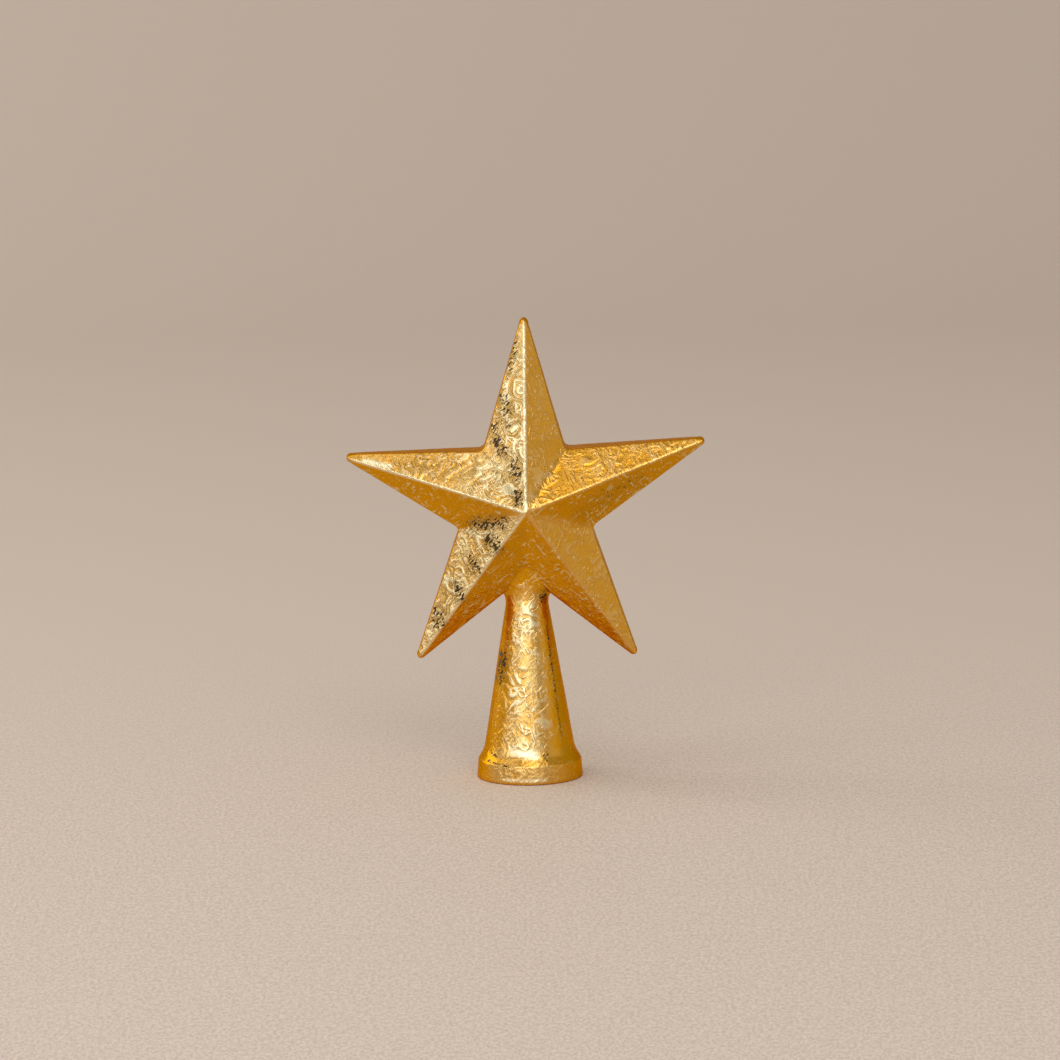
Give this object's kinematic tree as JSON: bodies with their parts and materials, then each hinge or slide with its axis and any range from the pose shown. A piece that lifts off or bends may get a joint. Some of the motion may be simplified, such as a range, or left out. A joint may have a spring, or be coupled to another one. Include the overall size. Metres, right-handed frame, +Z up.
{
  "type": "christmas tree topper star",
  "caption": "Hollow faceted star with a flat rim on a tapered hollow stem with a chamfered foot ring, gilded with wrinkled metal leaf. Drops over a Christmas tree's top shoot.",
  "frame": {"origin": "centre of the foot ring, on the surface that it stands on", "axes": "+Z up along the stem to the top ray, -Y towards the star's front"},
  "size_m": [0.1402, 0.046, 0.181],
  "materials": {
    "gilded_resin": "wrinkled gold-coloured metal leaf over a dark ground on cast resin, sealed",
    "gilded_filler": "the same metal leaf over hard filler",
    "tube_steel": "drawn, plain",
    "peg_wood": "plain turned dowel"
  },
  "bodies": {
    "root": {"front_star_shell": "gilded_resin", "back_star_shell": "gilded_resin", "alignment_pegs": "peg_wood", "neck_tube": "tube_steel", "stem_cone": "gilded_resin", "neck_bead": "gilded_filler", "base_collar": "gilded_resin"}
  },
  "joints": []
}
